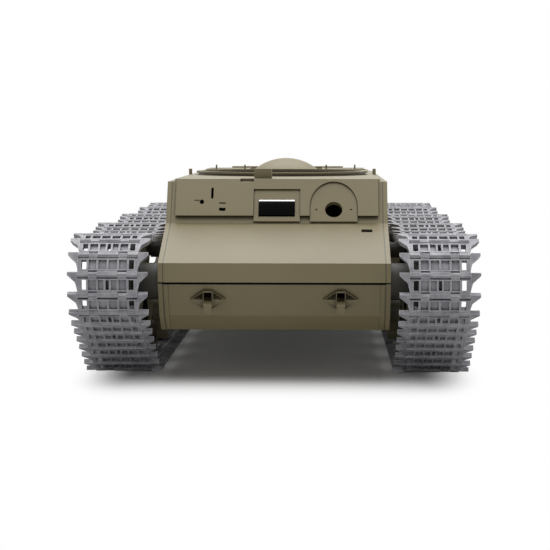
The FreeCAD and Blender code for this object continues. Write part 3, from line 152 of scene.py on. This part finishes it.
def makeRoom():
    world = bpy.data.worlds.new("Studio")
    bpy.context.scene.world = world
    world.use_nodes = True
    tree = world.node_tree
    tree.nodes.clear()
    ray = addNode(tree, "ShaderNodeLightPath").outputs
    seen = addNode(tree, "ShaderNodeMath", {0: ray["Is Camera Ray"], 1: ray["Is Glossy Ray"]},
                   operation="MAXIMUM")
    seen = addNode(tree, "ShaderNodeMath", {0: seen.outputs[0], 1: ray["Is Transmission Ray"]},
                   operation="MAXIMUM")
    room = addNode(tree, "ShaderNodeBackground", {"Color": white, "Strength": lightSettings["room"]})
    backdrop = addNode(tree, "ShaderNodeBackground",
                       {"Color": white, "Strength": lightSettings["backdrop"]})
    mixed = addNode(tree, "ShaderNodeMixShader",
                    {0: seen.outputs[0], 1: room.outputs[0], 2: backdrop.outputs[0]})
    addNode(tree, "ShaderNodeOutputWorld", {"Surface": mixed.outputs[0]})


floorSettings = {
    "side": 12.0,
    "colour": "#f6f6f6",
    "bounceColour": "#dcdcdc",  # what the object sees of it
    "inner": (0.077, 0.15, 1.0),  # half size of the box outside which the paper starts to whiten
    "reach": (0.035, 0.088, 1.0),  # how much farther out it is fully white
    "leastWhite": 0.035,  # light scattered under the hull
    "glow": 1.0,
}


def makeFloor():
    bpy.ops.mesh.primitive_plane_add(size=floorSettings["side"], location=(0, 0, cadBox[0].z))
    floor = bpy.context.object
    floor.name = "floor"
    # White seamless paper: matt, with the tank's shadow on it, and overexposed farther out.
    paper = bpy.data.materials.new("white_paper")
    paper.use_nodes = True
    tree = paper.node_tree
    tree.nodes.clear()
    fromCamera = addNode(tree, "ShaderNodeLightPath").outputs["Is Camera Ray"]
    place = addNode(tree, "ShaderNodeTexCoord").outputs["Object"]
    side = addNode(tree, "ShaderNodeVectorMath", {0: place}, operation="ABSOLUTE")
    outside = addNode(tree, "ShaderNodeVectorMath", {0: side.outputs[0], 1: floorSettings["inner"]},
                      operation="SUBTRACT")
    outside = addNode(tree, "ShaderNodeVectorMath", {0: outside.outputs[0]}, operation="MAXIMUM")
    outside = addNode(tree, "ShaderNodeVectorMath", {0: outside.outputs[0], 1: floorSettings["reach"]},
                      operation="DIVIDE")
    reach = addNode(tree, "ShaderNodeVectorMath", {0: outside.outputs[0]}, operation="LENGTH")
    away = addNode(tree, "ShaderNodeMapRange",
                   {"Value": reach.outputs["Value"], "To Min": floorSettings["leastWhite"]},
                   interpolation_type="SMOOTHSTEP")
    whiteShare = addNode(tree, "ShaderNodeMath", {0: away.outputs[0], 1: fromCamera},
                         operation="MULTIPLY")
    colour = addNode(tree, "ShaderNodeMix", {
        0: fromCamera,
        6: linearColour(floorSettings["bounceColour"]),
        7: linearColour(floorSettings["colour"]),
    }, data_type="RGBA")
    matt = addNode(tree, "ShaderNodeBsdfDiffuse", {"Color": colour.outputs[2]})
    glow = addNode(tree, "ShaderNodeEmission", {"Color": white, "Strength": floorSettings["glow"]})
    mixed = addNode(tree, "ShaderNodeMixShader",
                    {0: whiteShare.outputs[0], 1: matt.outputs[0], 2: glow.outputs[0]})
    addNode(tree, "ShaderNodeOutputMaterial", {"Surface": mixed.outputs[0]})
    floor.data.materials.append(paper)


makeCamera()
makeSoftbox()
makeRoom()
makeFloor()
bpy.context.scene.view_settings.view_transform = "Standard"
print("camera, light and floor made")

# A Mix node of colours has its share at input 0, the colours at 6 and 7, and the result at output 2.

patternSettings = {
    "spotLimits": (0.35, 0.65),  # noise values between which the second colour comes in
    "glossLimits": (0.3, 0.7),  # noise values between which the roughness rises
    "edgeLimits": (0.97, 0.75),  # cosines between true and rounded normal, on flats and on edges
    "edgeSamples": 4,
    "recessSamples": 6,
}


def patternScale(millimetres):  # of a noise whose spots are about that many millimetres wide
    return 1 / (2 * millimetres * mm)


def edgeHighlightShare(tree, millimetres, most):  # 0 on flats, up to most on edges within that width: the share of the lighter edge colour, which is partly wear and partly painted highlight
    rounded = addNode(tree, "ShaderNodeBevel", {"Radius": millimetres * mm},
                      samples=patternSettings["edgeSamples"])
    true = addNode(tree, "ShaderNodeNewGeometry")
    along = addNode(tree, "ShaderNodeVectorMath", {0: rounded.outputs[0], 1: true.outputs["Normal"]},
                    operation="DOT_PRODUCT")
    return addNode(tree, "ShaderNodeMapRange", {
        "Value": along.outputs["Value"],
        "From Min": patternSettings["edgeLimits"][0],
        "From Max": patternSettings["edgeLimits"][1],
        "To Max": most,
    }).outputs[0]


def recessShadeShare(tree, millimetres, limits):  # 0 in the open, nearing 1 deep in grooves that wide: where the painted shade comes in
    opened = addNode(tree, "ShaderNodeAmbientOcclusion", {"Distance": millimetres * mm},
                     samples=patternSettings["recessSamples"])
    return addNode(tree, "ShaderNodeMapRange", {
        "Value": opened.outputs["AO"],
        "From Min": limits[0],
        "From Max": limits[1],
    }).outputs[0]


def seamShare(tree, place, side, half):  # 1 within half a seam's width of that many mm to either side
    axes = addNode(tree, "ShaderNodeSeparateXYZ", {0: place})
    offCentre = addNode(tree, "ShaderNodeMath", {0: axes.outputs[0]}, operation="ABSOLUTE")
    near = addNode(tree, "ShaderNodeMath", {0: offCentre.outputs[0], 1: side * mm, 2: half * mm},
                   operation="COMPARE")
    return near.outputs[0]


def makeFinish(look):
    material = bpy.data.materials.new(look["name"])
    material.use_nodes = True
    tree = material.node_tree
    tree.nodes.clear()
    place = addNode(tree, "ShaderNodeTexCoord").outputs["Object"]
    grain = addNode(tree, "ShaderNodeTexNoise", {
        "Vector": place,
        "Scale": patternScale(look["grain"]),
        "Detail": look["grainDetail"],
    })
    spots = grain
    if "spots" in look:
        spots = addNode(tree, "ShaderNodeTexNoise", {
            "Vector": place,
            "Scale": patternScale(look["spots"]),
            "Detail": look["spotDetail"],
        })
    spotShare = addNode(tree, "ShaderNodeMapRange", {
        "Value": spots.outputs["Fac"],
        "From Min": patternSettings["spotLimits"][0],
        "From Max": patternSettings["spotLimits"][1],
    })
    layers = [("second", spotShare.outputs[0])]  # each colour lies over the ones before
    # edges take a lighter colour, partly wear and partly painted highlight
    if "edge" in look:
        layers.append(("edge", edgeHighlightShare(tree, look["edgeWidth"], look["edgeMost"])))
    # recesses take a darker colour: painted shade
    if "recessShade" in look:
        layers.append(("recessShade", recessShadeShare(tree, look["recessReach"], look["recessLimits"])))
    if "seam" in look:
        layers.append(("seam", seamShare(tree, place, look["seamAt"], look["seamHalf"])))
    colour = linearColour(look["base"])
    for layer, share in layers:
        mixed = addNode(tree, "ShaderNodeMix", {0: share, 6: colour, 7: linearColour(look[layer])},
                        data_type="RGBA")
        colour = mixed.outputs[2]
    bump = addNode(tree, "ShaderNodeBump", {
        "Strength": look["bump"],
        "Distance": look["grainHeight"] * mm,
        "Height": grain.outputs["Fac"],
    })
    rough = addNode(tree, "ShaderNodeMapRange", {
        "Value": grain.outputs["Fac"],
        "From Min": patternSettings["glossLimits"][0],
        "From Max": patternSettings["glossLimits"][1],
        "To Min": look["roughness"][0],
        "To Max": look["roughness"][1],
    })
    shader = addNode(tree, "ShaderNodeBsdfPrincipled", {
        "Base Color": colour,
        "Metallic": look["metallic"],
        "Roughness": rough.outputs[0],
        "Normal": bump.outputs[0],
    })
    if "ior" in look:
        shader.inputs["IOR"].default_value = look["ior"]
    addNode(tree, "ShaderNodeOutputMaterial", {"Surface": shader.outputs[0]})
    return material


# Sizes are in millimetres. The second colour comes in spots, and the relief and the gloss follow the
# grain, between the two values of the roughness.
moulded = {
    "metallic": 0.0,
    "spotDetail": 2.0,
    "grain": 0.3,  # really about 0.1 mm, drawn coarser so that it shows
    "grainDetail": 3.0,
    "grainHeight": 0.01,
    "bump": 0.4,
    "edgeWidth": 0.4,
    "edgeMost": 1.0,
    "recessLimits": (0.9, 0.3),  # openness at which the painted shade starts, and at which it is full
}
bare = {  # turned or drawn metal, whose colour follows the grain that the tool leaves
    "metallic": 1.0,
    "grainDetail": 4.0,
    "grainHeight": 0.008,
    "bump": 0.3,
}

finishLooks = {
    # Injection-moulded ABS with a spark-eroded skin: even and satin, with faint flow marks, edges painted
    # lighter as wear and painted highlight, and painted shade in the grooves.
    "hull_plastic": {
        **moulded,
        "name": "moulded_abs",
        "base": "#8d8260",
        "second": "#857a59",
        "spots": 34.0,  # flow marks
        "edge": "#b0a98a",
        "edgeWidth": 0.35,
        "edgeMost": 0.45,
        "recessShade": "#332f1c",
        "recessReach": 6.0,
        "recessLimits": (0.85, 0.25),
        "seam": "#5b553c",
        "seamAt": 56.8,  # the joint along the side plates
        "seamHalf": 0.3,
        "grain": 0.35,  # spark erosion is about 0.1 mm; coarser, as above
        "grainHeight": 0.012,
        "bump": 0.5,
        "roughness": (0.37, 0.48),
        "ior": 1.53,
    },
    # Die-cast zinc alloy, tumbled and dulled: grey and pebbly, with edges painted bright as wear and
    # painted highlight, and painted shade between the raised parts. Its dull skin scatters nearly all
    # light, so it is hardly metallic.
    "track_metal": {
        **moulded,
        "name": "cast_zinc",
        "base": "#abaaaf",
        "second": "#8d8d93",
        "spots": 2.4,  # patches that the tumbling left dull
        "spotDetail": 4.0,
        "edge": "#f2eff2",
        "edgeWidth": 0.42,
        "recessShade": "#2b2a2b",
        "recessReach": 1.8,
        "recessLimits": (0.72, 0.1),
        "grainHeight": 0.03,
        "bump": 0.6,
        "roughness": (0.42, 0.58),
        "metallic": 0.2,
    },
    # Enamel sprayed on cast wheels and arms: olive and half matt, with edges painted paler as wear and
    # painted highlight, and painted shade in the corners.
    "painted_metal": {
        **moulded,
        "name": "sprayed_enamel",
        "base": "#6b654b",
        "second": "#625c44",
        "spots": 10.0,
        "edge": "#857e61",
        "recessShade": "#1b1912",
        "recessReach": 14.0,
        "roughness": (0.45, 0.55),
    },
    # Chemically blackened steel: near black with a brown cast, and dull with oil.
    "blackened_steel": {
        **moulded,
        "name": "blackened_steel",
        "base": "#302d22",
        "second": "#29271e",
        "spots": 4.0,
        # painted shade in its corners
        "recessShade": "#1b1912",
        "recessReach": 10.0,
        "roughness": (0.45, 0.55),
    },
    # Moulded polystyrene: dark grey, with a skin between matt and satin.
    "tray_plastic": {
        **moulded,
        "name": "moulded_tray",
        "base": "#3c3b37",
        "second": "#34332f",
        "spots": 18.0,
        "roughness": (0.45, 0.55),
    },
    # PVC film shrunk round the cells: blue, smooth and softly shiny.
    "battery_wrap": {
        **moulded,
        "name": "heat_shrink_film",
        "base": "#2c4f7d",
        "second": "#284871",
        "spots": 12.0,
        "roughness": (0.23, 0.33),
    },
    # Printed solder mask over glass fibre: a dark green lacquer.
    "circuit_board": {
        **moulded,
        "name": "solder_mask",
        "base": "#1f5136",
        "second": "#1b482f",
        "spots": 6.0,
        "roughness": (0.3, 0.4),
    },
    # Moulded nylon: black, with a dull shine.
    "black_plastic": {
        **moulded,
        "name": "black_nylon",
        "base": "#1d1d1e",
        "second": "#191919",
        "spots": 8.0,
        "roughness": (0.35, 0.45),
    },
    # Nylon moulded with glass fibre: dark grey, matt and slightly cloudy.
    "gearbox_plastic": {
        **moulded,
        "name": "glass_filled_nylon",
        "base": "#2e2f31",
        "second": "#262729",
        "spots": 5.0,
        "roughness": (0.5, 0.6),
    },
    # Moulded acetal: creamy white and waxy.
    "gear_plastic": {
        **moulded,
        "name": "acetal",
        "base": "#e6e3da",
        "second": "#dedbd1",
        "spots": 9.0,
        "roughness": (0.33, 0.43),
    },
    # Smoked acrylic over a dark inside: black, and nearly without shine from in front.
    "visor_block": {
        **moulded,
        "name": "smoked_acrylic",
        "base": "#050505",
        "second": "#070708",
        "spots": 6.0,
        "roughness": (0.15, 0.25),
        "ior": 1.12,  # acrylic has 1.49, but the opening shows almost no reflection
    },
    # Painted shade: a black without shine, for the blocks set in slots and grooves where there is only
    # shadow.
    "felt": {
        **moulded,
        "name": "painted_shade_black",
        "base": "#0a0908",
        "second": "#0e0d0b",
        "spots": 1.2,  # fine specks
        "roughness": (0.85, 0.95),
        "ior": 1.1,  # low, so that the black hardly shines
    },
    # Drawn steel rod: bright, with fine marks from the die.
    "steel": {
        **bare,
        "name": "bright_steel",
        "base": "#b4b6ba",
        "second": "#9ea1a6",
        "grain": 0.4,
        "roughness": (0.24, 0.38),
    },
    # Deep-drawn steel with nickel plate: a warm grey shine.
    "motor_can": {
        **bare,
        "name": "plated_steel",
        "base": "#b9b8b2",
        "second": "#a9a8a2",
        "grain": 0.8,
        "roughness": (0.26, 0.4),
    },
    # Brass from the lathe: yellow and bright, with fine tool marks.
    "brass": {
        **bare,
        "name": "turned_brass",
        "base": "#c9a45c",
        "second": "#b8924c",
        "grain": 0.4,
        "roughness": (0.24, 0.38),
    },
    # Painted reflection: a bright metal finish on a band of the smoked block's rounded top edge stands in
    # for the light overhead mirrored in the acrylic.
    "visor_edge": {
        **bare,
        "name": "polished_edge",
        "base": "#d2d2d0",
        "second": "#c9c9c7",
        "grain": 0.3,
        "roughness": (0.24, 0.38),
    },
}

finishes = {slot: makeFinish(look) for slot, look in finishLooks.items()}
print("materials made:", len(finishes))


def slotOf(holder):  # a node's material may carry a number after its slot's name
    return holder.material.name.split(".")[0]


softEdges = {  # width of the rounding in mm
    "upper_hull": 0.35,
    "hull_tub": 0.35,
    "visor_frame": 0.25,
    "ball_mount": 0.3,
    "tow_eyes": 0.12,
    "deck_covers": 0.25,
    "engine_hatch": 0.25,
    "battery_pack": 1.6,
    "equipment_tray": 0.3,
    "gearbox_left": 0.35,
    "gearbox_right": 0.35,
}
softening = {
    "merge": 0.002,  # mm
    "flat": 0.6,  # degrees; faces that meet at less are joined
    "corner": 32,  # degrees; edges sharper than this are rounded
    "smooth": 24,
    "steps": 2,
    "weight": 80,
}
lozenge = {  # the raised plate behind each tow eye
    "normal": Vector((0, -0.909, -0.417)),
    "facing": 0.99,
    "reach": 155.9,  # mm from the origin to its front face, along that normal
    "play": 0.3,
    "rim": 0.38,
    "sunk": 0.4,
}


def sinkTowEyePanels(copy):  # leaves a raised rim round each lozenge
    selectOnly(copy)
    bpy.ops.object.mode_set(mode="EDIT")
    bpy.ops.mesh.select_mode(type="FACE")
    bpy.ops.mesh.select_all(action="DESELECT")
    bpy.ops.object.mode_set(mode="OBJECT")
    for face in copy.data.polygons:
        centre = copy.matrix_world @ face.center / mm
        normal = (copy.matrix_world.to_3x3() @ face.normal).normalized()
        offPlane = abs(centre @ lozenge["normal"] - lozenge["reach"])
        face.select = normal @ lozenge["normal"] > lozenge["facing"] and offPlane < lozenge["play"]
    bpy.ops.object.mode_set(mode="EDIT")
    bpy.ops.mesh.inset(thickness=lozenge["rim"] * mm, depth=-lozenge["sunk"] * mm)
    bpy.ops.object.mode_set(mode="OBJECT")


def softenedCopy(nodeName, width):
    source = frame["nodes"][nodeName]
    copy = bpy.data.objects.new(nodeName + "_moulded", source.data.copy())
    bpy.context.scene.collection.objects.link(copy)
    selectOnly(copy)
    bpy.ops.object.mode_set(mode="EDIT")
    bpy.ops.mesh.select_all(action="SELECT")
    bpy.ops.mesh.remove_doubles(threshold=softening["merge"] * mm)
    bpy.ops.mesh.dissolve_limited(angle_limit=radians(softening["flat"]))
    bpy.ops.object.mode_set(mode="OBJECT")
    if nodeName == "tow_eyes":
        sinkTowEyePanels(copy)
    applyModifier(copy, "BEVEL", width=width * mm, segments=softening["steps"], limit_method="ANGLE",
                  angle_limit=radians(softening["corner"]), use_clamp_overlap=True)
    smoothUpTo(copy, softening["smooth"])
    applyModifier(copy, "WEIGHTED_NORMAL", weight=softening["weight"], keep_sharp=True)
    return copy


bodyOf = {name: body for body, names in frame["record"]["behaviour"]["bodies"].items() for name in names}

for nodeName, width in softEdges.items():
    slotName = slotOf(frame["nodes"][nodeName].material_slots[0])
    piece = softenedCopy(nodeName, width)
    finishPiece(piece, bodyOf[nodeName], finishes[slotName], slotName, nodeName)
    print(nodeName, "softened:", len(piece.data.polygons), "faces")

frontPlate = {
    "lean": radians(30),  # how far it tips back
    "footAlong": -152.9,  # mm
    "footHeight": 81.7,
}
rounding = {
    "steps": 2,
    "corner": 40,  # degrees; edges sharper than this are rounded
    "smooth": 35,
}


def onFrontPlate(across, height, depth=0.0):  # mm; a place behind the front plate's skin by that depth
    along = frontPlate["footAlong"] + (height - frontPlate["footHeight"]) * tan(frontPlate["lean"])
    return Vector((across, along + depth, height)) * mm


def block(name, width, deep, tall, place, lean=0.0):  # an upright box in mm, its top tipped back by lean
    bpy.ops.mesh.primitive_cube_add(size=1, location=place, rotation=(-lean, 0, 0))
    made = bpy.context.object
    made.name = name
    selectOnly(made)
    made.scale = (width * mm, deep * mm, tall * mm)
    bpy.ops.object.transform_apply(location=False, rotation=False, scale=True)
    return made


def roundCorners(obj, width):
    applyModifier(obj, "BEVEL", width=width * mm, segments=rounding["steps"], limit_method="ANGLE",
                  angle_limit=radians(rounding["corner"]))
    smoothUpTo(obj, rounding["smooth"])


visor = {  # mm
    "width": 19.2,
    "low": 85.3,  # heights above the ground
    "high": 94.1,
    "deep": 2.6,
    "proud": 0.55,  # in front of the frame round it
    "frameDepth": 1.1,  # how far the frame lies behind the front plate
    "shoulder": 1.7,  # radius of its rounded top edge
    "shoulderSteps": 6,
    "corners": 0.2,
    "edgeLow": 92.85,  # the band of that edge that carries the painted reflection
    "edgeHigh": 93.85,
    "edgeFacing": 0.1,  # how far its faces must turn to the front
}


def visorBlock():
    # One smoked block fills the driver's opening; a band of its rounded top edge gets a bright metal
    # finish, a painted reflection of the light overhead.
    tall = (visor["high"] - visor["low"]) / cos(frontPlate["lean"])
    middle = (visor["high"] + visor["low"]) / 2
    depth = visor["frameDepth"] - visor["proud"] + visor["deep"] / 2
    made = block("visor_block", visor["width"], visor["deep"], tall,
                 onFrontPlate(0.0, middle, depth), frontPlate["lean"])
    bpy.ops.object.mode_set(mode="EDIT")
    bpy.ops.mesh.select_mode(type="EDGE")
    bpy.ops.mesh.select_all(action="DESELECT")
    bpy.ops.object.mode_set(mode="OBJECT")
    for edge in made.data.edges:
        ends = [made.data.vertices[end].co for end in edge.vertices]
        edge.select = all(end.y < 0 and end.z > 0 for end in ends)
    bpy.ops.object.mode_set(mode="EDIT")
    bpy.ops.mesh.bevel(offset=visor["shoulder"] * mm, segments=visor["shoulderSteps"])
    bpy.ops.object.mode_set(mode="OBJECT")
    roundCorners(made, visor["corners"])
    finishPiece(made, "chassis", finishes["visor_block"], "black_plastic")
    # painted reflection: the front faces of that band take the bright metal finish
    made.data.materials.append(finishes["visor_edge"])
    for face in made.data.polygons:
        inReflection = visor["edgeLow"] < face.center.z / mm < visor["edgeHigh"]
        if inReflection and face.normal.y < -visor["edgeFacing"]:
            face.material_index = 1


visorBlock()

shadeFills = {  # painted shade: black blocks set in the small openings and the nose groove, where there is only shadow; sizes in mm
    "glacis_slot": {
        "place": Vector((48.0, -159.0, 77.25)) * mm,
        "width": 5.6,
        "deep": 3.1,
        "tall": 1.4,
        "lean": -radians(22.4),  # along the sloped nose
    },
    "nose_groove": {
        "place": Vector((0.0, -194.4, 53.4)) * mm,
        "width": 117.6,
        "deep": 1.4,
        "tall": 1.3,
        "lean": 0.0,
    },
    "side_slit": {
        "place": onFrontPlate(-42.9, 93.6, 0.15),
        "width": 2.8,
        "deep": 0.4,
        "tall": 0.55,
        "lean": frontPlate["lean"],
    },
}
shadeFillCorners = 0.1  # mm

for name, size in shadeFills.items():
    shadeFill = block(name + "_shade_fill", size["width"], size["deep"], size["tall"], size["place"], size["lean"])
    applyModifier(shadeFill, "BEVEL", width=shadeFillCorners * mm, segments=rounding["steps"])
    finishPiece(shadeFill, "chassis", finishes["felt"], "black_plastic")
print("visor block and slot liners made")

grillePins = {  # moulded studs that locate the grilles; mm
    "across": (-45.4, -26.7, 26.7, 45.4),
    "along": 50.0,
    "foot": 105.8,
    "tall": 3.5,
    "radius": 0.55,
    "sides": 16,
    "corners": 0.15,
}


def grillePin():
    bpy.ops.mesh.primitive_cylinder_add(vertices=grillePins["sides"], radius=grillePins["radius"] * mm,
                                        depth=grillePins["tall"] * mm, location=(0, 0, 0))
    made = bpy.context.object
    roundCorners(made, grillePins["corners"])
    return made


firstPin = grillePin()
for number, across in enumerate(grillePins["across"], 1):
    pin = bpy.data.objects.new("grille_pin_%d" % number, firstPin.data.copy())
    bpy.context.scene.collection.objects.link(pin)
    height = grillePins["foot"] + grillePins["tall"] / 2
    pin.location = Vector((across, grillePins["along"], height)) * mm
    finishPiece(pin, "chassis", finishes["hull_plastic"], "hull_plastic")
bpy.data.objects.remove(firstPin)
print("grille pins made")

blackened = ("fixed_axles", "hull_screws", "torsion_bars")
for nodeName, nodeObject in frame["nodes"].items():
    for holder in nodeObject.material_slots:
        finish = "blackened_steel" if nodeName in blackened else slotOf(holder)
        holder.material = finishes[finish]
print("frame parts finished")
